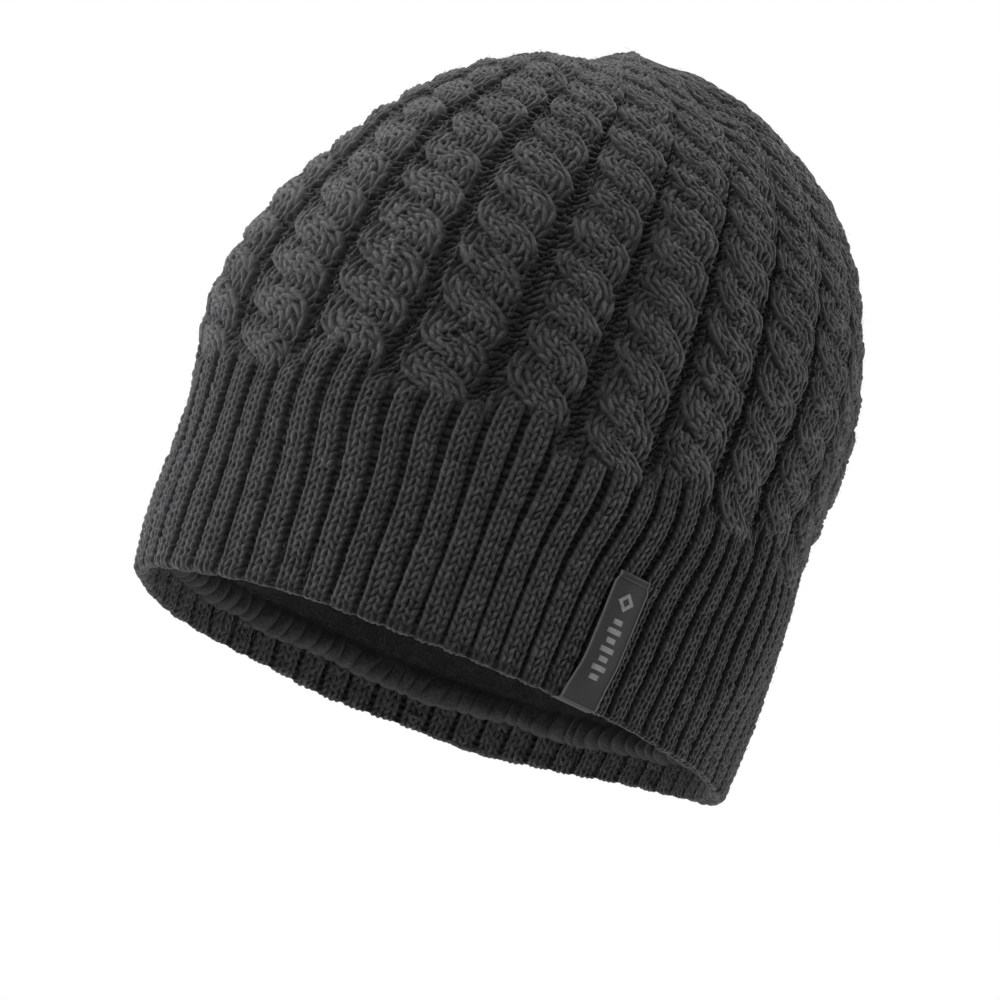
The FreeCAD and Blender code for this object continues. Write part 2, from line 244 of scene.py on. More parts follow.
# The purl gutter's share of a cable repeat, at each width of the repeat.
GUTTER_PITCHES = (0.0, 12.7, 15.7, 21.0, 27.0, 33.0)
GUTTER_SHARES = (-0.12, -0.08, 0.0, 0.16, 0.28, 0.18)
BASE_WIDTH = 18.6  # width of the cable that the strand table is made for
TABLE_REACH = 0.75  # how far the table goes to each side, in such widths
STRAND_LIFT = 0.95
STRAND_ROUND = 1.65
STITCH_RELIEF = 0.82
DEEPEST = STRAND_LIFT + STRAND_ROUND
BEND = 1.42  # how squarely a strand turns back at the cable's edge
EARLY = 0.35  # how long before its crossing a strand comes up, in radians
FAR_DOWN = -99.0
STRAND_JITTER = rng.normal(size=(256, CABLES * 12))


def strand_table(across_count=121, climb_count=256):
    """One strand of a cable on a grid of places across it and along two crossings.

    At each place: how far out from the strand's middle line as a share of its half width, how far
    over or under its partner it lies, and how many rows of stitches it is ahead of the climb.
    """
    turn = np.arange(-TAU, 2 * TAU, 0.02)
    middle = -BASE_WIDTH / 4 * np.sin(BEND * np.sin(turn)) / math.sin(BEND)
    rise = CABLE_CROSSING * turn / np.pi
    dx, dz = np.gradient(middle), np.gradient(rise)
    pace = np.hypot(dx, dz)
    rows = np.cumsum(pace) / np.interp(TAU, turn - turn[0], np.cumsum(pace)) * 2 * ROWS_PER_CROSSING
    rows = rows - np.interp(0, turn, rows)
    slant = np.abs(dx) / pace
    across = np.linspace(-TABLE_REACH, TABLE_REACH, across_count) * BASE_WIDTH
    climb = np.arange(climb_count) * TAU / climb_count
    out, over, ahead = (np.zeros((climb_count, across_count)) for _ in range(3))
    for i, angle in enumerate(climb):
        away_x = across[:, None] - middle[None]
        away_z = np.broadcast_to(CABLE_CROSSING * angle / np.pi - rise, away_x.shape)
        near = np.argmin(away_x ** 2 + away_z ** 2, axis=1)
        k = np.arange(across_count)
        side = np.sign(away_x[k, near] * dz[near] - away_z[k, near] * dx[near])
        distance = np.hypot(away_x[k, near], away_z[k, near])
        half = BASE_WIDTH / 4 * (1.3 - 0.22 * slant[near] ** 2)
        out[i] = side * distance / half
        over[i] = np.cos(turn[near] + EARLY)
        ahead[i] = rows[near] - ROWS_PER_CROSSING * angle / np.pi
    return out, over, ahead


STRAND_TABLE = strand_table()


def table_at(table, angle, across):
    """Bilinear values of a strand table at angles of climb and places across."""
    rows, columns = table.shape
    y = np.mod(angle / TAU * rows, rows)
    x = np.clip((across / BASE_WIDTH / TABLE_REACH + 1) / 2, 0, 0.9999) * (columns - 1)
    i, j = np.floor(y).astype(int) % rows, np.floor(x).astype(int)
    fy, fx = y - np.floor(y), x - j
    low = table[i, j] * (1 - fx) + table[i, j + 1] * fx
    i = (i + 1) % rows
    return low * (1 - fy) + (table[i, j] * (1 - fx) + table[i, j + 1] * fx) * fy


def first_crossing(cable, turn):
    """Height of a cable's first crossing: every other one is lower, and the sides sag a little."""
    jitter = 0.5 * pick(STRAND_JITTER, np.full(cable.shape, 5), cable)
    return FIRST_CROSSING - STAGGER * (np.mod(cable, 2) < 1) - 1.5 * (1 - np.cos(turn)) + jitter


def strand_relief(strand, phase, across, cable, scale, wales):
    """Height and tone of one strand of a cable, or a height far down where it isn't; the tone is
    painted shade with a random tone per stitch.
    """
    out, over, ahead = (table_at(table, phase, across) for table in STRAND_TABLE)
    rows = ahead + ROWS_PER_CROSSING * phase / np.pi
    lane = (np.clip(out, -1, 1) + 1) / 2 * wales
    lane_index = np.clip(np.floor(lane), 0, wales - 1)
    column = cable * 6 + lane_index + 3 * strand
    lean = 0.1 * pick(STRAND_JITTER, np.floor(rows) + 77, column)
    shifted = rows + 0.3 * pick(STRAND_JITTER, column, column)
    stitch = knit_stitch(lane - lane_index - 0.5, shifted, lean)
    lift = pick(STRAND_JITTER, np.floor(shifted) + 40 * strand, column)
    crown = np.sqrt(np.clip(1 - np.abs(out) ** 3.4, 0, 1))
    body = STRAND_LIFT * over + STRAND_ROUND * crown - DEEPEST
    height = scale * body - STITCH_RELIEF * (1 - stitch) * scale ** 0.4 + 0.24 * lift * scale
    # Painted shade: darker where the strand dips under its partner and towards its edges, and
    # between the stitches' legs; lift adds a random tone per stitch.
    tone = np.clip(1 + body / (DEEPEST + 0.9), 0, 1) * (0.26 + 0.86 * stitch) + 0.07 * lift
    return np.where(np.abs(out) < 1, height, FAR_DOWN), tone


def gutter_relief(share, run, pitch, gutter, cable, scale):
    """Height of the purl gutter beside a cable, and its tone of painted shade."""
    wales = np.clip(np.round(gutter / 2.2), 2, 4)
    across = (np.mod(share + 1.0, 1.0) - 0.5) * pitch / np.maximum(gutter, 0.5)
    from_middle = np.clip(np.abs(across) * 2, 0, 1.6)
    lane = across * wales + 0.5 * wales
    rows = (run - BAND_TOP) / CABLE_CROSSING * ROWS_PER_CROSSING
    column = cable * 3 + np.floor(lane + 6)
    slip = 0.2 * pick(STRAND_JITTER, np.floor(rows) + 90, column) - 0.55 * (lane - np.floor(lane))
    slip = slip + 0.5 * np.mod(np.floor(lane), 2) + 0.3 * pick(STRAND_JITTER, column, column + 3)
    bumps = purl_stitch(lane, rows + slip)
    lift = pick(STRAND_JITTER, np.floor(rows) + 150, column)
    bank = 1.3 * np.clip(from_middle, 0, 1) ** 2 - 5 * np.clip(from_middle - 1, 0, 1)
    height = (bank - DEEPEST + 0.1) * scale - 0.9 * (1 - bumps) * scale ** 0.5 + 0.16 * lift * scale
    # Painted shade: narrow gutters are darker, and the tone darkens towards the gutter's middle and
    # between the purl bumps; lift adds a random tone per stitch.
    shadow = 0.08 + 0.92 * smoothstep(2.5, 8.0, gutter)
    tone = shadow * (0.04 + 0.5 * bumps + 0.04 * lift) * (0.4 + 0.6 * np.clip(from_middle, 0, 1))
    return height, tone


def cable_relief(share, run, pitch, cable, start):
    """Height of the cables and the purl gutters under the crest, in millimetres, and their tone of
    painted shade.

    share runs from -0.5 to 0.5 across one repeat, from gutter middle to gutter middle, run is the
    distance up the hat, pitch the local width of the repeat and start the height of the cable's
    first crossing.
    """
    gutter = np.interp(pitch, GUTTER_PITCHES, GUTTER_SHARES) * pitch
    width = pitch - gutter
    across = share * pitch / width * BASE_WIDTH
    scale = np.clip(width / BASE_WIDTH, 0.12, 1.1) ** 0.9
    angle = np.pi * (run - start) / CABLE_CROSSING
    wales = np.where(width > 12.6, 3, np.where(width > 7.0, 2, 1))
    layers = [strand_relief(strand, angle + strand * np.pi, across, cable, scale, wales)
              for strand in (0, 1)]
    layers.append(gutter_relief(share, run, pitch, gutter, cable, scale))
    relief, tone = np.full(share.shape, FAR_DOWN), np.zeros(share.shape)
    for height, layer_shade_and_tone in layers:
        tone = np.where(height > relief, layer_shade_and_tone, tone)
        relief = np.maximum(relief, height)
    return relief, np.clip(tone, 0, 1.2)


# ---- shells and meshes

def shell_points(height, half_x, half_y, shift, turn):
    """Points of a stack of ellipses: one row per ellipse, one column per angle."""
    x = shift[:, None] + half_x[:, None] * np.sin(turn)
    y = -half_y[:, None] * np.cos(turn)
    z = np.broadcast_to(height[:, None], x.shape)
    return np.stack([x, y, z], -1)


def shell_normals(points):
    """Unit directions out of a shell whose columns run towards +X at the front and rows upwards."""
    around = np.roll(points, -3, 1) - np.roll(points, 3, 1)
    return unit(np.cross(around, np.gradient(points, axis=0)))


def put_in_scene(name, data):
    """A new object that shows the data."""
    obj = bpy.data.objects.new(name, data)
    bpy.context.scene.collection.objects.link(obj)
    return obj


def mesh_object(name, points, faces, attributes=None, uv=None):
    """A mesh from points in millimetres and an array of quads or a list of faces."""
    mesh = bpy.data.meshes.new(name)
    flat = (settle(points) * MM).astype(np.float32).reshape(-1, 3)
    if isinstance(faces, np.ndarray):
        mesh.vertices.add(len(flat))
        mesh.vertices.foreach_set("co", flat.ravel())
        mesh.loops.add(faces.size)
        mesh.loops.foreach_set("vertex_index", faces.astype(np.int32).ravel())
        mesh.polygons.add(len(faces))
        starts = np.arange(0, faces.size, faces.shape[1], dtype=np.int32)
        mesh.polygons.foreach_set("loop_start", starts)
    else:
        mesh.from_pydata(flat.tolist(), [], faces)
    mesh.update(calc_edges=True)
    mesh.validate()
    for key, values in (attributes or {}).items():
        layer = mesh.attributes.new(key, "FLOAT", "POINT")
        layer.data.foreach_set("value", np.ravel(values).astype(np.float32))
    if uv is not None:
        layer = mesh.uv_layers.new(name="OFBake")
        layer.data.foreach_set("uv", uv.astype(np.float32).ravel())
    mesh.polygons.foreach_set("use_smooth", np.ones(len(mesh.polygons), bool))
    return put_in_scene(name, mesh)


def sharpen_row(obj, columns, row):
    """Keep the shading of the two sides of one row of a shell apart."""
    mesh = obj.data
    ends = np.zeros(len(mesh.edges) * 2, np.int32)
    mesh.edges.foreach_get("vertices", ends)
    sharp = np.all(ends.reshape(-1, 2) // columns == row, axis=1)
    mesh.attributes.new("sharp_edge", "BOOLEAN", "EDGE").data.foreach_set("value", sharp)


def closed_grid(name, points, attributes):
    """A closed shell from a grid whose rows and columns both run back to their start."""
    rows, columns = points.shape[:2]
    i, j = (index.ravel() for index in np.indices((rows, columns)))
    low, high = i * columns, (i + 1) % rows * columns
    j_next = (j + 1) % columns
    quads = np.stack([low + j, low + j_next, high + j_next, high + j], 1)
    uv = np.stack([
        np.stack([j, j + 1, j + 1, j], 1) / columns,
        np.stack([i, i, i + 1, i + 1], 1) / rows,
    ], -1)
    return mesh_object(name, points, quads, attributes, uv)


def sheet_grid(name, front, back, attributes=None):
    """A thin closed sheet from two grids of the same size, joined round the edge."""
    rows, columns = front.shape[:2]
    count = rows * columns
    index = np.arange(count).reshape(rows, columns)
    a, b, c, d = index[:-1, :-1], index[:-1, 1:], index[1:, 1:], index[1:, :-1]
    faces = [np.stack([a, b, c, d], -1).reshape(-1, 4)]
    faces.append(np.stack([d, c, b, a], -1).reshape(-1, 4) + count)
    for line in (index[0, ::-1], index[-1], index[:, 0], index[::-1, -1]):
        start, end = line[:-1], line[1:]
        faces.append(np.stack([start, end, end + count, start + count], -1))
    points = np.concatenate([front.reshape(-1, 3), back.reshape(-1, 3)])
    if attributes:
        attributes = {key: np.tile(np.ravel(value), 2) for key, value in attributes.items()}
    return mesh_object(name, points, np.concatenate(faces), attributes)


def rope(points, radius, sides=8, plies=0, twist=0.0, taper=0.0):
    """Vertices and faces of a closed round thread along points, with twisted plies if asked."""
    points = np.asarray(points, float)
    forward = unit(np.gradient(points, axis=0))
    helper = [0.31, 0.22, 0.92] if abs(forward[0][2]) < 0.8 else [0.92, 0.31, 0.2]
    side = unit(np.cross(forward, helper))
    over = np.cross(forward, side)
    passed = np.r_[0, np.cumsum(np.linalg.norm(np.diff(points, axis=0), axis=1))]
    angles = np.arange(sides) * TAU / sides
    thin = 1 - taper * (2 * passed / passed[-1] - 1) ** 4
    size = radius * thin[:, None] * np.ones(sides)
    if plies:
        turned = plies / 2 * angles[None] + twist * passed[:, None]
        size = size * (0.87 + 0.13 * np.abs(np.cos(turned)))
    around = (np.cos(angles)[None, :, None] * side[:, None]
              + np.sin(angles)[None, :, None] * over[:, None])
    rings = points[:, None] + size[..., None] * around
    tips = points[[0, -1]] + forward[[0, -1]] * [[-radius * 0.5], [radius * 0.5]]
    last = (len(points) - 1) * sides
    steps = [(j, (j + 1) % sides) for j in range(sides)]
    faces = [(low + j, low + k, low + sides + k, low + sides + j)
             for low in range(0, last, sides) for j, k in steps]
    for j, k in steps:
        faces += [(k, j, last + sides), (last + j, last + k, last + sides + 1)]
    return np.concatenate([rings.reshape(-1, 3), tips]), faces


def thread(line, radius=0.27, taper=0.6):
    """One stitch of sewing thread, twisted from two plies."""
    return rope(line, radius, 6, 2, 5.0, taper)


def join_ropes(name, ropes):
    """One mesh of separate closed threads."""
    vertices, faces, base = [], [], 0
    for points, ring_faces in ropes:
        vertices.append(points)
        faces += [tuple(base + v for v in face) for face in ring_faces]
        base += len(points)
    return mesh_object(name, np.concatenate(vertices), faces)


# ---- the whole piece of knitting

COLUMN_RIBS = np.arange(COLUMNS) / COLUMNS_PER_RIB
COLUMN_TURN = turn_of_ribs(COLUMN_RIBS)
ROW_STEP = 0.4
RUN_AT_BEND = float(np.interp(WALL / 2, HEIGHT, RUN))


def dome_climb(height):
    """Share of the dome's height, from 0 at its widest ring to 1 at the gather."""
    return np.clip((height - WIDEST) / (CROWN_TOP - WIDEST), 0, 1)


def ring_turns(height, half, shift):
    """Angle of every column on every ring.

    The ribs are pulled apart at the front under the cables, and the cables rise in flat planes to
    the gather.
    """
    bell = np.exp(-((height - 62) / 18) ** 2)[:, None]
    twist = 0.033 * smoothstep(15, 90, height)[:, None]
    turn = np.broadcast_to(COLUMN_TURN, (len(height), COLUMNS))
    turn = turn + twist + 0.075 * np.sin(2 * turn) * np.exp(-turn ** 2 / 0.8) * bell
    meeting = POLE_X * smoothstep(0.75, 1.0, dome_climb(height))
    offset = (shift - meeting) / np.maximum(half, 4) * smoothstep(BAND_TOP, WIDEST, height)
    return turn - offset[:, None] * np.cos(turn)


def knit_path():
    """Rows from inside the band down, round the brim, up the outer face and over the crown."""
    inner = np.r_[np.linspace(BAND_TOP, 14.5, 16), np.arange(14.0, WALL / 2, -0.45)]
    bend = np.linspace(0, np.pi, 17)[1:-1]
    outer = np.r_[np.arange(RUN_AT_BEND, FULL_RUN - 1.0, ROW_STEP), FULL_RUN - 0.5]
    height = np.r_[inner, WALL / 2 * (1 - np.sin(bend)), np.interp(outer, RUN, HEIGHT)]
    edge = WALL / 2 * (1 + np.cos(bend))
    inset = np.r_[np.full(len(inner), WALL), edge, np.zeros(len(outer))]
    passed = np.r_[0, np.cumsum(np.hypot(np.diff(height), np.diff(inset)))]
    start = len(inner) + len(bend)
    run = np.r_[passed[:start] - passed[start] + outer[0], outer]
    return height, inset, run, start


# Soft pushes on the finished shape: where they act, how far they reach and which way they move it.
# All in millimetres.
PUSHES = (
    ((62, 52, 0), (30, 34, 24), (-1.5, -3.5, 2.2)),
    ((-25, 85, 0), (85, 45, 28), (0, 0, -2.9)),
    ((85, 0, 166), (60, 90, 32), (4.2, 0, 0)),
    ((70, 0, 188), (50, 90, 14), (1.8, 0, 0)),
    ((-60, 0, 186), (50, 90, 20), (-3.2, 0, 0)),
    ((-95, 0, 137), (40, 90, 24), (1.4, 0, 0)),
    ((-98, 0, 90), (40, 90, 20), (-3.4, 0, 0)),
    ((-21, 0, 203), (8, 40, 12), (0, 0, -3.2)),
    ((18, -33, 191), (10, 12, 9), (0, 1.6, -2.8)),
    ((5, -25, 196), (9, 10, 8), (0, -0.7, 1.2)),
    ((-72, 50, 0), (22, 35, 24), (0, 0, -2)),
    ((56, 62, 0), (18, 28, 20), (0, 0, -1.4)),
    ((-9, 0, 206), (5, 30, 9), (0, 0, 1)),
    ((1.5, 0, 206), (4.5, 30, 9), (0, 0, -1.3)),
)


def settle(points):
    """The shape after the soft pushes that give the hat its uneven, filled-out look."""
    points = np.array(points, float)
    move = np.zeros_like(points)
    for centre, reach, push in PUSHES:
        away = (points - np.array(centre)) / np.array(reach)
        move += np.exp(-np.sum(away ** 2, axis=-1))[..., None] * np.array(push)
    return points + move

# Soft bulges and hollows of the crown: turn in degrees, climb, their sizes, millimetres out.
CROWN_FOLDS = (
    (38, 0.93, 30, 0.10, 1.4),
    (15, 0.985, 18, 0.05, -2.5),
    (-60, 0.80, 40, 0.20, -1.2),
    (75, 0.75, 35, 0.20, -1.5),
    (-20, 0.50, 40, 0.30, 0.8),
)


def crown_coordinates(points, run):
    """Share across the cable repeat, distance up, width of a repeat and the cable's number."""
    ribs = np.broadcast_to(COLUMN_RIBS, points.shape[:2])
    place = np.mod(ribs - 1.5, 3) / 3
    cable = np.mod(np.floor((ribs - 1.5) / 3), CABLES)
    gap = np.linalg.norm(np.roll(points, -4, 1) - np.roll(points, 4, 1), axis=2) / 8
    pitch = gap * 3 * COLUMNS_PER_RIB
    return place - 0.5, np.broadcast_to(run[:, None], ribs.shape), pitch, cable


def crown_bulge(height, run, turn, outside):
    """How far the crown's soft bulges and hollows move each point out."""
    climb = dome_climb(height)
    bulge = 0.8 * noise_field(len(run), 14, 40)
    degrees = np.degrees(turn)
    for at, up, wide, tall, out in CROWN_FOLDS:
        away = np.mod(degrees - at + 180, 360) - 180
        fold = np.exp(-(away / wide) ** 2 - ((climb[:, None] - up) / tall) ** 2)
        bulge = bulge + out * fold * (climb > 0)[:, None]
    return bulge * (smoothstep(FULL_RUN, FULL_RUN - 12, run) * outside)[:, None]


def build_knit():
    """The whole piece of knitting, row by row.

    Gives its points, their tone of painted shade and light with a random tone per stitch, the
    smooth shell under them, the directions out of it and its bulge, then each row's run and height,
    and the row where the outside starts.
    """
    height, inset, run, start = knit_path()
    low = height <= WIDEST
    half, shift = (np.interp(run, RUN, line) for line in (HALF, SHIFT))
    half[:start], shift[:start] = low_outline(height[:start])
    turn = ring_turns(height, half, shift)
    base = shell_points(height, half - inset, half * DEPTH_RATIO - inset, shift, turn)
    normals = shell_normals(base)
    outside = smoothstep(WALL, 0, inset)
    ribs = np.broadcast_to(COLUMN_RIBS, base.shape[:2])
    wander = noise_field(len(run), 9, 90) * 0.035 * low[:, None]
    along = (run / BAND_ROW)[:, None] + 0.25 * noise_field(len(run), 9, 40)
    calm = smoothstep(-1.0, 7.0, height)
    depth = (1.0 + 0.9 * outside) * (0.25 + 0.75 * calm)
    narrow = 0.95 + 0.15 * smoothstep(12, 58, height) * outside
    rib, rib_shade_and_tone = rib_relief(ribs + wander, along, depth[:, None],
                               (0.5 + 0.5 * calm)[:, None], narrow[:, None])
    hidden = smoothstep(14.2, 15.5, height) * (inset > WALL - 0.01)
    behind = 0.2 + 0.9 * smoothstep(60.0, 63.0, height)
    rib = rib * (1 - hidden)[:, None] + (behind * hidden)[:, None]
    share, distance, pitch, cable = crown_coordinates(base, run)
    sway = 0.014 * noise_field(len(run), 30, 63)
    first = first_crossing(cable, turn)
    distance = distance + 0.7 * noise_field(len(run), 30, 63)
    cables, cable_shade_and_tone = cable_relief(share + sway, distance, pitch, cable, first)
    in_gutter = smoothstep(0.3, 0.37, np.abs(share))
    rib_end = 66.5 + 2.5 * np.exp(-((0.5 - np.abs(share)) / 0.09) ** 2)
    edge = (first - 5.6) * (1 - in_gutter) + rib_end * in_gutter + 1.4 * noise_field(1, 2, 63)
    soft = 2.2 + 2.6 * in_gutter
    take = smoothstep(-1, 1, (height[:, None] - edge) / soft) * (inset < 0.01)[:, None]
    relief = rib * (1 - take) + cables * take
    tone = rib_shade_and_tone * (1 - take) + cable_shade_and_tone * take
    # Painted light and shade: the inside of the band is lightened, and the knit darkens towards the
    # brim's lower edge.
    brim_painted_light_and_shade = (1 + 1.35 * (1 - outside)) * (0.5 + 0.5 * smoothstep(0.5, 4.0, height))
    tone = tone * brim_painted_light_and_shade[:, None]
    bulge = crown_bulge(height, run, turn, outside)
    points = base + normals * (relief + bulge)[..., None]
    return points, tone, base, normals, bulge, run, height, start


def build_crown_lining_side():
    """Inner face of the crown: purl bumps on a smooth shell, from the point back to the band."""
    rows = np.linspace(len(RUNS) - 1, SPLIT, 90).astype(int)
    thickness = CROWN_WALL * smoothstep(FULL_RUN + 6, FULL_RUN - 30, RUNS[rows]) + 0.4
    inner = BASE[rows] - NORMALS[rows] * thickness[:, None, None]
    lanes = np.broadcast_to(COLUMN_RIBS, (len(rows), COLUMNS)) * 3
    bumps = purl_stitch(lanes, np.arange(len(rows))[:, None] * 0.5)
    return inner + NORMALS[rows] * (np.minimum(BULGE[rows], 0) - 0.35 * bumps)[..., None]


KNIT, PAINTED_SHADE_AND_TONE, BASE, NORMALS, BULGE, RUNS, HEIGHTS, OUTER_START = build_knit()
SPLIT = int(np.argmin(np.abs(HEIGHTS[OUTER_START:] - BAND_TOP))) + OUTER_START
crown_inside = build_crown_lining_side()
# The crest attribute carries the knit's painted shade; the crown's inner face gets one plain middle
# value of it.
band_knit = closed_grid("band_knit", KNIT[:SPLIT + 1], {"crest": PAINTED_SHADE_AND_TONE[:SPLIT + 1]})
crown_shade_and_tone = np.concatenate([PAINTED_SHADE_AND_TONE[SPLIT:], np.full(crown_inside.shape[:2], 0.4)])
crown_knit = closed_grid("crown_knit", np.concatenate([KNIT[SPLIT:], crown_inside]),
                         {"crest": crown_shade_and_tone})
sharpen_row(band_knit, COLUMNS, SPLIT)
sharpen_row(crown_knit, COLUMNS, 0)


# ---- the places of small pieces

def band_place(height, inset, turn):
    """Point on the band at an angle, moved in from the crest line, and its two directions.

    The directions run out of the hat and along the band.
    """
    half, shift = low_outline(height)
    half_x, half_y = half - inset, half * DEPTH_RATIO - inset
    point = np.array([shift + half_x * math.sin(turn), -half_y * math.cos(turn), height])
    outward = unit(np.array([math.sin(turn) / half_x, -math.cos(turn) / half_y, 0]))
    return point, outward, np.array([-outward[1], outward[0], 0])


# ---- fleece lining

FLEECE_LOW, FLEECE_HIGH = corners("fleece_lining_band")
LOWER_SEAM = sum(corners("lining_lower_stitching"))[2] / 2
UPPER_SEAM = sum(corners("lining_upper_stitching"))[2] / 2
FLEECE_OUT = WALL + 0.35
FLEECE_THICK = 2.7
FLEECE_FACE = FLEECE_OUT + FLEECE_THICK
FLEECE_RISE = 52
SCALLOPS_PER_RIB = 5 / 3
FLEECE_PER_RIB = 20
FLEECE_COLUMNS = RIBS * FLEECE_PER_RIB
FLEECE_RIBS = np.arange(FLEECE_COLUMNS) / FLEECE_PER_RIB
FLEECE_TURN = turn_of_ribs(FLEECE_RIBS)


def fleece_face(height, scallop):
    """How far the lining's inner face stands in from its back."""
    puff = np.exp(-((height - 13.6) / 3.9) ** 2)
    crease = np.exp(-((height - LOWER_SEAM) / 1.3) ** 2)
    top_crease = np.exp(-((height - UPPER_SEAM) / 1.0) ** 2)
    fullness = puff * (1.35 + 1.05 * scallop ** 0.8)
    return FLEECE_THICK + fullness - 0.7 * crease - 0.9 * top_crease


def build_fleece():
    """Points of the lining and a tone of painted shade that darkens the clefts between its
    scallops.
    """
    rise = np.r_[np.linspace(0, 1, 30) ** 0.8 * 9, np.linspace(9.3, FLEECE_RISE, 90)][:, None]
    rows = len(rise)
    unevenness = noise_field(1, 2, 63, FLEECE_COLUMNS)
    slant = 0.028 * (rise - 5)
    ribs = FLEECE_RIBS + slant + 0.13 * noise_field(rows, 5, 110, FLEECE_COLUMNS)
    scallop = np.abs(np.sin(np.pi * ribs * SCALLOPS_PER_RIB))
    notch = 1 - scallop ** 0.7
    hem = FLEECE_LOW[2] - 0.9 + 0.7 * notch + 0.6 * unevenness
    height = hem + rise * (FLEECE_HIGH[2] - hem) / FLEECE_RISE
    face = fleece_face(height, scallop) + 0.22 * noise_field(rows, 14, 130, FLEECE_COLUMNS)
    face = face + 0.35 * noise_field(rows, 5, 30, FLEECE_COLUMNS)
    face = face * np.sqrt(1 - np.clip(1 - (rise / 2.6), 0, 1) ** 2)
    ending = np.clip(1 - (FLEECE_RISE - rise) / 1.4, 0, 1)
    face = face * np.sqrt(np.clip(1 - ending ** 2, 0.02, 1))
    height = np.concatenate([height, height[::-4]])
    back = np.zeros((len(height) - rows, FLEECE_COLUMNS))
    inset = FLEECE_OUT + np.concatenate([face + 0.1, back])
    half, shift = low_outline(height)
    x = shift + (half - inset) * np.sin(FLEECE_TURN)
    y = -(half * DEPTH_RATIO - inset) * np.cos(FLEECE_TURN)
    # Painted shade: the lining darkens in the clefts between its scallops, around the puff.
    cleft_shade = notch * np.exp(-((height[:rows] - 12.5) / 4.5) ** 2)
    tone = np.concatenate([1 - cleft_shade, back + 1])
    return np.stack([x, y, height], -1)[::-1], {"crest": tone[::-1]}


lining_fleece = closed_grid("lining_fleece", *build_fleece())


# ---- seams

STITCH_SPAN = np.linspace(-0.5, 0.5, 7)
SEAM_STITCHES = 84
SEAM_STITCH_LENGTH = 3.4
JOIN_STITCHES = 8
JOIN_HALF_WIDTH = 1.6
LOOP_PITCH = 5.1
CROWN_LOOP_PITCH = 5.3
LOOP_WIDTH = 3.4
YARN_RADIUS = 1.1


def seam_ring(height):
    """Running stitches round the lining, sunk in the crease they make."""
    ropes = []
    for i in range(SEAM_STITCHES):
        turn = TAU * (i + 0.12 * rng.normal()) / SEAM_STITCHES
        sag = 0.35 * rng.normal()
        point, outward, along = band_place(height + sag, FLEECE_FACE - 0.6, turn)
        step = along * SEAM_STITCH_LENGTH + UP * 0.12
        ropes.append(thread([
            point + step * t - outward * 0.45 * (1 - 4 * t * t) for t in STITCH_SPAN]))
    return ropes


def build_join():
    """Zigzag that joins the two ends of the fleece at the centre back."""
    low, high = corners("lining_join_stitching")
    step = (high[2] - low[2]) / JOIN_STITCHES
    ropes = []
    for i in range(JOIN_STITCHES):
        z = low[2] + i * step + 0.3
        start, outward, along = band_place(z, FLEECE_FACE - 0.1, math.pi)
        end = band_place(z + step * 0.8, FLEECE_FACE - 0.1, math.pi)[0]
        across = along * JOIN_HALF_WIDTH * (1 if i % 2 else -1)
        ropes.append(thread([
            start * (1 - t) + end * t + across * (2 * t - 1) - outward * 0.3 * math.sin(math.pi * t)
            for t in np.linspace(0, 1, 7)]))
    return ropes


def build_back_seam():
    """Linking loops up the centre back, on the knit's inner face, where the lining leaves it bare.

    Each is a bowed bar of two twisted plies.
    """
    places = []
    for z in np.arange(4.0, BAND_TOP, LOOP_PITCH):
        if not FLEECE_LOW[2] - YARN_RADIUS < z < FLEECE_HIGH[2] + YARN_RADIUS:
            places.append(band_place(z, WALL - 0.3, math.pi)[:2])
    back_column = int(np.argmin(np.abs(np.mod(COLUMN_TURN - math.pi + 1, TAU) - 1)))
    for row in range(SPLIT, len(RUNS) - 60, round(CROWN_LOOP_PITCH / ROW_STEP)):
        normal = NORMALS[row, back_column]
        places.append((BASE[row, back_column] - normal * (CROWN_WALL + 0.5), normal))
    ropes = []
    for point, outward in places:
        line = [point + np.array([LOOP_WIDTH * t, 0, 0.5 * math.cos(math.pi * t)])
                - outward * 0.5 * (1 - 4 * t * t) for t in np.linspace(-0.5, 0.5, 9)]
        ropes.append(rope(line, 0.85, 10, 2, 2.4, 0.55))
    return ropes


lower_stitches = join_ropes("lower_seam_stitches", seam_ring(LOWER_SEAM))
upper_stitches = join_ropes("upper_seam_stitches", seam_ring(UPPER_SEAM))
join_stitches = join_ropes("lining_join_stitches", build_join())
back_loops = join_ropes("back_seam_loops", build_back_seam())


# ---- brim label

LABEL_TURN = math.radians(27.4)
LABEL_WIDTH = 11.4
LABEL_THICK = 0.5
HALF_THICK = LABEL_THICK / 2
LABEL_STAND_OFF = 1.0
LABEL_TOP = corners("woven_label")[1][2]
LABEL_INNER = 8.6  # height of the tape's inner end
LABEL_BACK = -(WALL + 0.3)
FOLD_RADIUS = 0.5
UNDER_BRIM = 0.3  # height of the tape's middle line under the brim


def label_line():
    """The tape's middle line, out and up, from its inner end under the brim to its outer end."""
    arc = [(FOLD_RADIUS * math.sin(a), FOLD_RADIUS * (1 - math.cos(a)))
           for a in np.linspace(0, np.pi / 2, 5)[1:]]
    inner = LABEL_BACK - HALF_THICK
    strip = np.arange(LABEL_BACK + FOLD_RADIUS + 0.3, LABEL_STAND_OFF - 0.4, 0.25)
    rows = [(inner, z) for z in np.arange(LABEL_INNER, FOLD_RADIUS, -0.25)]
    rows += [(inner + far, FOLD_RADIUS - near + UNDER_BRIM) for near, far in arc]
    rows += [(out, UNDER_BRIM) for out in strip]
    rows += [(LABEL_STAND_OFF - 0.3 + near, UNDER_BRIM + far) for near, far in arc]
    rows += [(LABEL_STAND_OFF + HALF_THICK, z) for z in np.arange(1.2, LABEL_TOP + 0.01, 0.2)]
    return rows


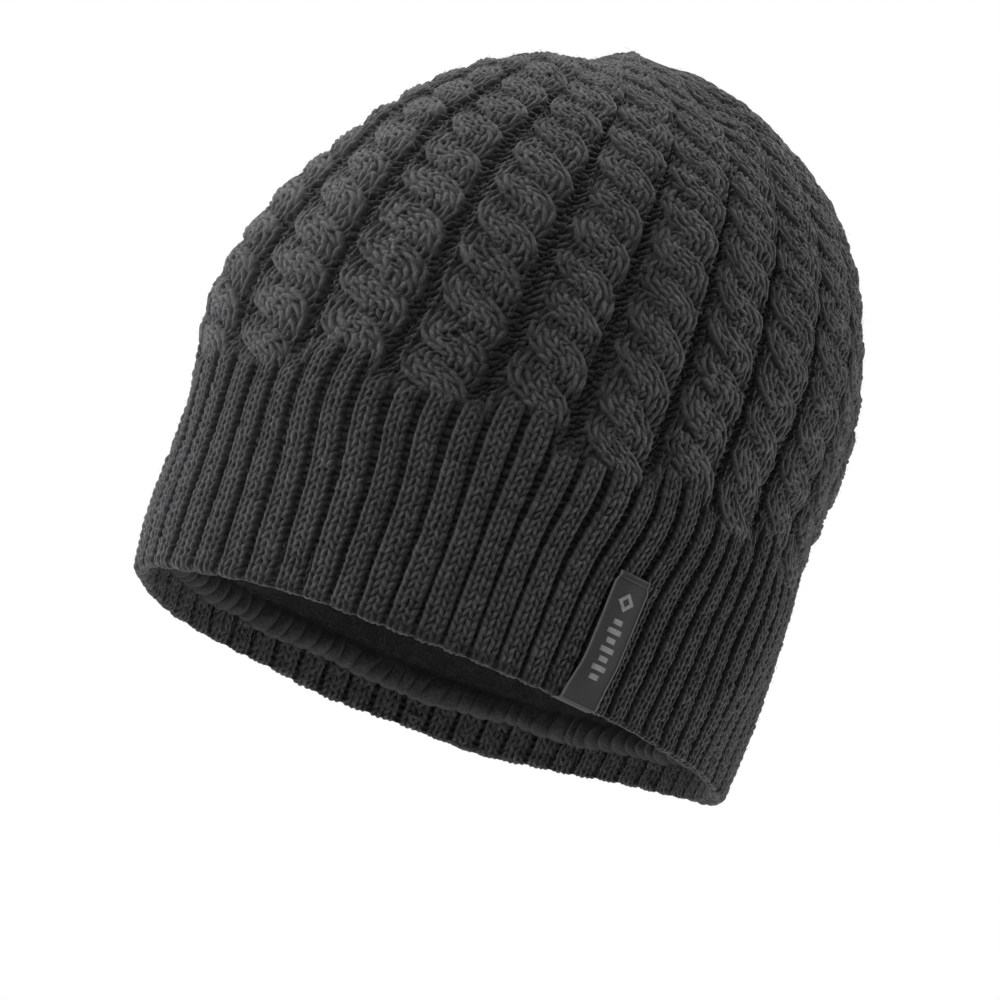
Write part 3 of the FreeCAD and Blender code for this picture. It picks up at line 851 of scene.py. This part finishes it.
def label_surface(out, z, across, lift):
    """Points of the tape: out from the crest line, up, across its width and off its face."""
    point, outward, along = band_place(max(z, 0.0), -out, LABEL_TURN)
    base, _, _ = band_place(0, 0, LABEL_TURN)
    line = base + outward * np.dot(point - base, outward) + UP * z
    top = smoothstep(LABEL_TOP - 4, LABEL_TOP - 1.5, z)
    flare = 1 + 0.08 * smoothstep(12, 0, z) - 0.13 * top
    along = np.multiply.outer(across * flare - 1.5 * smoothstep(16, 0, z), along)
    return line + along + np.multiply.outer(lift, outward)


def tape_bow(z, share):
    """How far the loose outer face bellies out, at a height and shares of its width."""
    bow = 0.16 * np.cos(TAU * share + 0.4) + 0.1 * np.sin(z / 6.5 + 2 * share)
    return smoothstep(1.5, 9.5, z) * bow


def on_tape(z, start, end, count, lift):
    """A line of points across the tape's outer face."""
    across = np.linspace(start, end, count)
    lift = lift + tape_bow(z, across / LABEL_WIDTH)
    return label_surface(LABEL_STAND_OFF + LABEL_THICK, z, across, lift)


def build_label():
    """Both faces of the tape, and how far across and up it each point lies."""
    share = np.linspace(-0.5, 0.5, 58)
    across = share * LABEL_WIDTH
    selvedge = np.where(np.abs(share) > 0.455, 0.1, 0.0)
    front, back, up = [], [], []
    for i, (out, z) in enumerate(label_line()):
        weave = 0.035 * np.sin(share * 57 * math.pi) * math.cos(i * math.pi)
        outer = out > 0
        if outer or z > 0.6:
            side = 1 if outer else -1
            bow = tape_bow(z, share) * outer
            fold = 0.55 * math.exp(-((z - LABEL_TOP + 1.1) / 0.75) ** 2) * outer
            face = HALF_THICK + bow + fold + selvedge + weave
            front.append(label_surface(out, z, across, side * face))
            back.append(label_surface(out, z, across, side * (bow - HALF_THICK)))
        else:
            middle = label_surface(out, z, across, 0.0)
            front.append(middle - np.multiply.outer(HALF_THICK + weave, UP))
            back.append(middle + UP * HALF_THICK)
        up.append(np.full(len(share), z if outer else -z - 1))
    marks = {"across": np.tile(share, (len(up), 1)), "up": np.array(up)}
    return np.array(front), np.array(back), marks


def build_label_bars():
    """Bars of thread: two across the turned-under outer end and one across the inner end."""
    half = LABEL_WIDTH / 2 - 0.5
    outer, second = (on_tape(LABEL_TOP - drop, -half, half, 15, lift)
                     for drop, lift in ((0.5, 0.35), (1.9, 0.25)))
    face = LABEL_BACK - LABEL_THICK - 0.15
    inner = label_surface(face, LABEL_INNER - 1.4, np.linspace(-5, 5, 15), 0.0)
    return [thread(outer, 0.3, 0.5), thread(second, 0.26, 0.5), thread(inner, 0.28, 0.5)]


def satin(z, start, end, count):
    """One satin stitch across the tape's outer face."""
    return rope(on_tape(z, start, end, count, 0.1), 0.16, 5, taper=0.5)


def build_motif():
    """Woven-in device of the tape: a diamond and a row of plain bars below it."""
    ropes = []
    middle, reach = LABEL_TOP - 8.5, 3.0
    for z in np.arange(-reach, reach + 0.01, 0.33):
        half = (reach - abs(z)) * 0.9
        hollow = (reach * 0.45 - abs(z)) * 0.9
        spans = [(-half, half)] if hollow <= 0 else [(-half, -hollow), (hollow, half)]
        ropes += [satin(middle + z, *span, 6) for span in spans if span[1] - span[0] > 0.4]
    for i in range(7):
        top = middle - 5.6 - i * 2.9
        half = 2.3 if i % 2 else 1.5
        ropes += [satin(top - z, -half, half, 8) for z in np.arange(0, 1.3, 0.32)]
    return ropes


brim_label = sheet_grid("brim_label", *build_label())
label_bars = join_ropes("label_bars", build_label_bars())
label_motif = join_ropes("label_motif", build_motif())


# ---- care label

CARE_LOW, CARE_HIGH = corners("care_label")
TAB_LOW, TAB_HIGH = corners("care_label_tab")
RIBBON_HALF = 0.17
CARE_STITCHES = 6
CARE_STITCH_LENGTH = 2.9


def steps(rows, columns):
    """Shares from 0 to 1 down the rows and along the columns of a grid."""
    row, column = np.indices((rows, columns))
    return row / (rows - 1), column / (columns - 1)


def build_care():
    """Ribbon flap with a soft bow across and a lazy curl towards its free end, hemmed there."""
    down, share = steps(52, 37)
    c = share - 0.5
    y = CARE_LOW[1] + (c + 0.5) * (CARE_HIGH[1] - CARE_LOW[1])
    z = CARE_HIGH[2] - down * (CARE_HIGH[2] - CARE_LOW[2])
    drift = -down ** 2 * (1.1 + 0.7 * np.sin(5 * c + 1)) + 0.25 * down * np.cos(TAU * c)
    middle = (CARE_LOW[0] + CARE_HIGH[0]) / 2 + drift
    front = np.stack([middle - RIBBON_HALF - 0.12 * (down > 0.93), y, z], -1)
    back = np.stack([middle + RIBBON_HALF, y, z], -1)
    return back[::-1], front[::-1]


def build_tab():
    """Sewn end of the ribbon: a folded strip that bulges at its fold."""
    into, share = steps(13, 37)
    share = share[:, ::-1]
    x = TAB_LOW[0] + into * (TAB_HIGH[0] - TAB_LOW[0])
    y = TAB_LOW[1] + share * (TAB_HIGH[1] - TAB_LOW[1])
    z = (TAB_LOW[2] + TAB_HIGH[2]) / 2 + 0.05 * np.sin(9 * share)
    bulge = 0.25 * np.sqrt(np.clip(1 - (1 - into * 4) ** 2, 0, 1))
    fold = np.where(into < 0.25, 0.08 * np.cos(np.pi * into) + bulge, 0.25)
    return np.stack([x, y, z + fold], -1), np.stack([x, y, z - np.minimum(fold, 0.25)], -1)


def build_care_stitches():
    """Short stitches through the tab into the lining."""
    low, high = corners("care_label_stitching")
    x = (low[0] + high[0]) / 2 + 0.1 * np.cos(3 * STITCH_SPAN)
    z = TAB_HIGH[2] + 0.1 + 0.22 * (1 - 4 * STITCH_SPAN ** 2)
    ropes = []
    for i in range(CARE_STITCHES):
        middle = low[1] + (high[1] - low[1]) * (i + 0.5) / CARE_STITCHES
        y = middle + CARE_STITCH_LENGTH * STITCH_SPAN
        ropes.append(thread(np.stack([x, y, z], 1), 0.25, 0.5))
    return ropes


care_ribbon = sheet_grid("care_flap_ribbon", *build_care())
care_tab = sheet_grid("care_tab_ribbon", *build_tab())
care_stitches = join_ropes("care_stitches", build_care_stitches())


# ---- gathered point

def build_gather():
    """The drawn yarn: a loop that waves where it passes through the last stitches."""
    a = np.linspace(0, TAU * 0.995, 60)
    r = 3.3 + 0.35 * np.sin(7 * a)
    loop = np.stack([r * np.cos(a), r * np.sin(a), 0.5 * np.cos(7 * a + 1) + 0.2 * np.sin(a)], 1)
    return [rope(sum(corners("crown_gather_yarn")) / 2 + loop, 1.05, 10, 3, 1.6)]


def build_knot():
    """Overhand knot: a short yarn wound through itself, its bights standing a little proud."""
    t = np.linspace(0, TAU, 90)[:-1]
    x = np.sin(t) + 2 * np.sin(2 * t)
    y = np.cos(t) - 2 * np.cos(2 * t)
    line = KNOT + np.stack([x * 0.62, y * 0.62, -np.sin(3 * t) * 0.75 + 0.4], 1)
    return [rope(line, 0.78, 10, 2, 2.0, 0.1)]


gather_loop = join_ropes("gather_loop", build_gather())
gather_knot = join_ropes("gather_knot", build_knot())


# ---- loose fibres

FIBRES = 12000


def build_fuzz():
    """Short loose fibres that stand off the yarn, each a thin three-sided strand."""
    outer = KNIT[OUTER_START:]
    spacing = np.linalg.norm(np.roll(outer, -1, 1) - outer, axis=2).ravel()
    weight = np.clip(spacing, 0, 1) * (PAINTED_SHADE_AND_TONE[OUTER_START:].ravel() > 0.45)
    chosen = rng.choice(len(weight), FIBRES, p=weight / weight.sum())
    root, normal = (grid[OUTER_START:].reshape(-1, 3)[chosen] for grid in (KNIT, NORMALS))
    wander = rng.normal(size=(FIBRES, 3))
    flat = unit(wander - normal * np.sum(wander * normal, 1, keepdims=True))
    rise = rng.uniform(0.15, 0.9, (FIBRES, 1))
    length = rng.uniform(0.7, 2.4, (FIBRES, 1))
    across = np.cross(flat, normal)
    bend = across * rng.normal(size=(FIBRES, 1)) * 0.5
    points = []
    for t, size in ((0.0, 1.0), (0.35, 0.9), (0.7, 0.7), (1.0, 0.35)):
        lean, droop = flat * 0.8 + normal * rise, bend - normal * rise * 0.45
        spot = root + length * (t * lean + t * t * droop)
        for a in (0, TAU / 3, 2 * TAU / 3):
            points.append(spot + 0.035 * size * (across * math.cos(a) + normal * math.sin(a)))
    start = np.arange(FIBRES)[:, None] * len(points)
    faces = [start + np.array([low + a, low + b, low + 3 + b, low + 3 + a])
             for low in (0, 3, 6) for a, b in ((0, 1), (1, 2), (2, 0))]
    return mesh_object("yarn_fuzz", np.stack(points, 1).reshape(-1, 3), np.concatenate(faces))


yarn_fuzz = build_fuzz()


# ---- materials

def node_tree(name):
    material = bpy.data.materials.new(name)
    material.use_nodes = True
    tree = material.node_tree
    return material, tree, tree.nodes["Principled BSDF"]


def new_node(tree, kind, **values):
    node = tree.nodes.new(kind)
    for key, value in values.items():
        if key in node.inputs:
            node.inputs[key].default_value = value
        else:
            setattr(node, key, value)
    return node


def object_coordinates(tree):
    return new_node(tree, "ShaderNodeTexCoord").outputs["Object"]


def attribute(tree, name):
    return new_node(tree, "ShaderNodeAttribute", attribute_name=name).outputs["Fac"]


def noise(tree, scale, detail, roughness):
    node = new_node(tree, "ShaderNodeTexNoise", Scale=scale, Detail=detail, Roughness=roughness)
    tree.links.new(object_coordinates(tree), node.inputs["Vector"])
    return node.outputs["Fac"]


def wave(tree, vector, direction, scale, distortion, detail_scale=1.0):
    node = new_node(tree, "ShaderNodeTexWave", wave_type="BANDS", bands_direction=direction,
                    Scale=scale, Distortion=distortion)
    node.inputs["Detail Scale"].default_value = detail_scale
    tree.links.new(vector, node.inputs["Vector"])
    return node.outputs["Fac"]


def ramp(tree, fac, *stops):
    """A colour ramp; each stop is a position and a colour or a plain value."""
    node = new_node(tree, "ShaderNodeValToRGB")
    elements = node.color_ramp.elements
    for i, (position, color) in enumerate((stops[0], stops[-1], *stops[1:-1])):
        element = elements[i] if i < 2 else elements.new(position)
        element.position = position
        element.color = (*np.full(3, color), 1)
    tree.links.new(fac, node.inputs["Fac"])
    return node.outputs["Color"]


def tint(tree, color, fac, *stops):
    """The colour multiplied by a ramp of a value."""
    node = new_node(tree, "ShaderNodeMix", data_type="RGBA", blend_type="MULTIPLY")
    node.inputs["Factor"].default_value = 1.0
    tree.links.new(color, node.inputs["A"])
    tree.links.new(ramp(tree, fac, *stops), node.inputs["B"])
    return node.outputs["Result"]


def dress(tree, shader, color, fac, smooth, rough, specular=None, sheen=None):
    """Set the shader's colour, its roughness between two values, its specular level and sheen."""
    tree.links.new(color, shader.inputs["Base Color"])
    tree.links.new(ramp(tree, fac, (0.2, smooth), (0.8, rough)), shader.inputs["Roughness"])
    if specular is not None:
        shader.inputs["Specular IOR Level"].default_value = specular
    if sheen:
        for key, value in zip(("Weight", "Roughness", "Tint"), sheen):
            shader.inputs[f"Sheen {key}"].default_value = value


def bump(tree, shader, height, strength, distance):
    node = new_node(tree, "ShaderNodeBump", Strength=strength, Distance=distance)
    tree.links.new(height, node.inputs["Height"])
    tree.links.new(node.outputs["Normal"], shader.inputs["Normal"])


def grey(value):
    return (value, value, value * 1.02)


def yarn_material(name, dark, light, tip, with_painted_shade=False):
    """Wool-blend yarn: fine fibres, a heathered colour and a soft sheen, with painted shade between
    stitches when asked.
    """
    material, tree, shader = node_tree(name)
    fibres = noise(tree, 1700.0, 5.0, 0.75)
    heather = noise(tree, 420.0, 3.0, 0.6)
    patches = noise(tree, 28.0, 2.0, 0.5)
    color = ramp(tree, fibres, (0.3, grey(dark)), (0.62, grey(light)), (0.78, grey(tip)))
    color = tint(tree, color, heather, (0.3, 0.72), (0.7, 1.18))
    color = tint(tree, color, patches, (0.3, 0.88), (0.7, 1.1))
    if with_painted_shade:
        # Painted shade: the crest attribute darkens the yarn down in the stitches and gutters and
        # lightens it on the crests.
        color = tint(tree, color, attribute(tree, "crest"), (0.0, 0.05), (0.5, 0.55), (1.0, 1.45))
    dress(tree, shader, color, heather, 0.78, 0.95, 0.04, (0.16, 0.38, (0.75, 0.76, 0.78, 1)))
    bump(tree, shader, fibres, 0.8, 0.0004)
    return material


def fleece_material():
    """Brushed fleece: matt, with a short uneven pile, and painted shade in its clefts."""
    material, tree, shader = node_tree("fleece_pile")
    pile = noise(tree, 1100.0, 5.0, 0.8)
    nap = noise(tree, 160.0, 3.0, 0.6)
    color = ramp(tree, pile, (0.32, grey(0.001)), (0.7, grey(0.019)))
    color = tint(tree, color, nap, (0.3, 0.75), (0.7, 1.25))
    # Painted shade: the crest attribute darkens the clefts between the scallops.
    color = tint(tree, color, attribute(tree, "crest"), (0.0, 0.15), (0.65, 1.0))
    dress(tree, shader, color, nap, 0.86, 0.97, 0.04, (0.1, 0.5, (0.5, 0.5, 0.52, 1)))
    bump(tree, shader, pile, 0.9, 0.0006)
    return material


def tape_material():
    """Woven label tape: fine ribs across, lighter selvedges, and painted shade under the brim."""
    material, tree, shader = node_tree("label_weave")
    across, up = attribute(tree, "across"), attribute(tree, "up")
    vector = new_node(tree, "ShaderNodeCombineXYZ")
    tree.links.new(across, vector.inputs["X"])
    tree.links.new(up, vector.inputs["Y"])
    weft = wave(tree, vector.outputs["Vector"], "Y", 0.9, 1.2, 3.0)
    threads = noise(tree, 1500.0, 3.0, 0.7)
    edge = new_node(tree, "ShaderNodeMath", operation="ABSOLUTE")
    tree.links.new(across, edge.inputs[0])
    color = ramp(tree, weft, (0.2, grey(0.006)), (0.8, grey(0.012)))
    color = tint(tree, color, threads, (0.3, 0.75), (0.7, 1.25))
    color = tint(tree, color, edge.outputs[0], (0.0, 1.0), (0.462, 1.0), (0.475, 3.6))
    # Painted shade: the tape darkens at the brim's lower edge and stays dark all along its part
    # under the brim.
    color = tint(tree, color, up, (0.0, 0.3), (1.0, 1.0))
    dress(tree, shader, color, threads, 0.5, 0.7, 0.1)
    bump(tree, shader, weft, 0.5, 0.0001)
    return material


def ribbon_material():
    """Satin ribbon: off-white with fine ribs."""
    material, tree, shader = node_tree("care_satin")
    ribs = wave(tree, object_coordinates(tree), "Z", 900.0, 0.6)
    cloud = noise(tree, 90.0, 3.0, 0.5)
    color = ramp(tree, cloud, (0.3, (0.62, 0.62, 0.6)), (0.7, (0.74, 0.74, 0.72)))
    color = tint(tree, color, ribs, (0.2, 0.88), (0.8, 1.0))
    dress(tree, shader, color, cloud, 0.38, 0.5)
    bump(tree, shader, ribs, 0.35, 0.0001)
    return material


def thread_material(name, low, high):
    """Sewing thread: twisted, with a slight gloss."""
    material, tree, shader = node_tree(name)
    strands = noise(tree, 2600.0, 2.0, 0.6)
    color = ramp(tree, strands, (0.3, grey(low)), (0.7, grey(high)))
    dress(tree, shader, color, strands, 0.5, 0.7, 0.15)
    bump(tree, shader, strands, 0.6, 0.00012)
    return material


YARN = yarn_material("yarn_charcoal", 0.005, 0.026, 0.075, True)
LOOSE_YARN = yarn_material("yarn_loose", 0.004, 0.012, 0.03)
FUZZ = yarn_material("yarn_fibres", 0.03, 0.055, 0.08)
FLEECE = fleece_material()
TAPE = tape_material()
RIBBON = ribbon_material()
DARK_THREAD = thread_material("thread_charcoal", 0.008, 0.02)
SEAM_THREAD = thread_material("thread_grey", 0.006, 0.014)
MOTIF_THREAD = thread_material("thread_silver", 0.06, 0.11)


# ---- every piece: its body, the CAD nodes it replaces, its slot and its material

PIECES = (
    (band_knit, "hat", ("ribbed_band",), "knit_yarn", YARN),
    (crown_knit, "hat", ("cable_crown",), "knit_yarn", YARN),
    (lining_fleece, "hat", ("fleece_lining_band",), "fleece", FLEECE),
    (lower_stitches, "hat", ("lining_lower_stitching",), "thread", SEAM_THREAD),
    (upper_stitches, "hat", ("lining_upper_stitching",), "thread", SEAM_THREAD),
    (join_stitches, "hat", ("lining_join_stitching",), "thread", SEAM_THREAD),
    (back_loops, "hat", ("back_seam_yarn",), "knit_yarn", LOOSE_YARN),
    (brim_label, "hat", ("woven_label",), "label_tape", TAPE),
    (label_bars, "hat", ("label_stitching",), "thread", DARK_THREAD),
    (label_motif, "hat", (), "label_tape", MOTIF_THREAD),
    (care_ribbon, "care_flap", ("care_label",), "care_ribbon", RIBBON),
    (care_tab, "hat", ("care_label_tab",), "care_ribbon", RIBBON),
    (care_stitches, "hat", ("care_label_stitching",), "thread", DARK_THREAD),
    (gather_loop, "hat", ("crown_gather_yarn",), "knit_yarn", LOOSE_YARN),
    (gather_knot, "hat", ("crown_knot",), "knit_yarn", LOOSE_YARN),
    (yarn_fuzz, "hat", (), "knit_yarn", FUZZ),
)
for piece, body, nodes, slot, material in PIECES:
    piece.data.materials.append(material)
    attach(piece, body)
    if nodes:
        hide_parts(*nodes)


# ---- camera, lights and floor

HAT_MIDDLE = Vector((0, 0, 0.1))
CAMERA_DISTANCE = 2.0
CAMERA_ELEVATION = math.radians(-11.42)
CAMERA_ROLL = math.radians(21.5)
AIM_RIGHT, AIM_UP = -0.0114, -0.0363  # metres from the hat's middle, in the picture
SENSOR = 36
FLOOR_LEVEL, FLOOR_REACH = -0.46, 6.0
# Soft lights: name, place, width and height, watts.
LIGHTS = (
    ("key", (-0.9, -0.9, 1.1), (0.5, 0.5), 48.0),
    ("left", (-1.4, 0.1, 0.2), (0.6, 0.9), 30.0),
    ("right", (1.4, 0.1, 0.3), (0.6, 0.9), 40.0),
    ("top", (-0.35, 0.4, 1.5), (0.8, 0.8), 50.0),
)


def place_camera():
    """Below the brim plane and rolled, so that the hat leans to the right of the picture."""
    back = Vector((0, -math.cos(CAMERA_ELEVATION), math.sin(CAMERA_ELEVATION)))
    spot = HAT_MIDDLE + back * CAMERA_DISTANCE
    straight = (-back).to_track_quat("-Z", "Y").to_matrix()
    rolled = straight @ Matrix.Rotation(CAMERA_ROLL, 3, "Z")
    aim = HAT_MIDDLE + rolled.col[0] * AIM_RIGHT + rolled.col[1] * AIM_UP
    ahead = (aim - spot).normalized()
    side = ahead.cross(rolled.col[1]).normalized()
    turned = Matrix((side, side.cross(ahead), -ahead)).transposed()
    data = bpy.data.cameras.new("camera")
    data.sensor_width = SENSOR
    data.lens = SENSOR * 6.582
    camera = put_in_scene("camera", data)
    camera.matrix_world = Matrix.Translation(spot) @ turned.to_4x4()
    bpy.context.scene.camera = camera


def add_light(name, place, size, power):
    """A rectangular light that looks at the hat's middle."""
    light = bpy.data.lights.new(name, "AREA")
    light.shape = "RECTANGLE"
    light.size, light.size_y = size
    light.energy = power
    turn = (HAT_MIDDLE - Vector(place)).to_track_quat("-Z", "Y").to_matrix().to_4x4()
    put_in_scene(name, light).matrix_world = Matrix.Translation(place) @ turn


def set_stage():
    """White surroundings and a pale floor far below."""
    scene = bpy.context.scene
    scene.world = bpy.data.worlds.new("studio")
    scene.world.use_nodes = True
    background = scene.world.node_tree.nodes["Background"]
    background.inputs["Color"].default_value = (1, 1, 1, 1)
    background.inputs["Strength"].default_value = 1.0
    scene.view_settings.view_transform = "Standard"
    mesh = bpy.data.meshes.new("floor")
    corner_signs = ((-1, -1), (1, -1), (1, 1), (-1, 1))
    mesh.from_pydata([(x * FLOOR_REACH, y * FLOOR_REACH, FLOOR_LEVEL) for x, y in corner_signs],
                     [], [(0, 1, 2, 3)])
    material, tree, shader = node_tree("floor_paper")
    tone = ramp(tree, noise(tree, 6.0, 2.0, 0.5), (0.3, 0.8), (0.7, 0.84))
    tree.links.new(tone, shader.inputs["Base Color"])
    shader.inputs["Roughness"].default_value = 0.9
    mesh.materials.append(material)
    put_in_scene("floor", mesh)


place_camera()
set_stage()
for light in LIGHTS:
    add_light(*light)
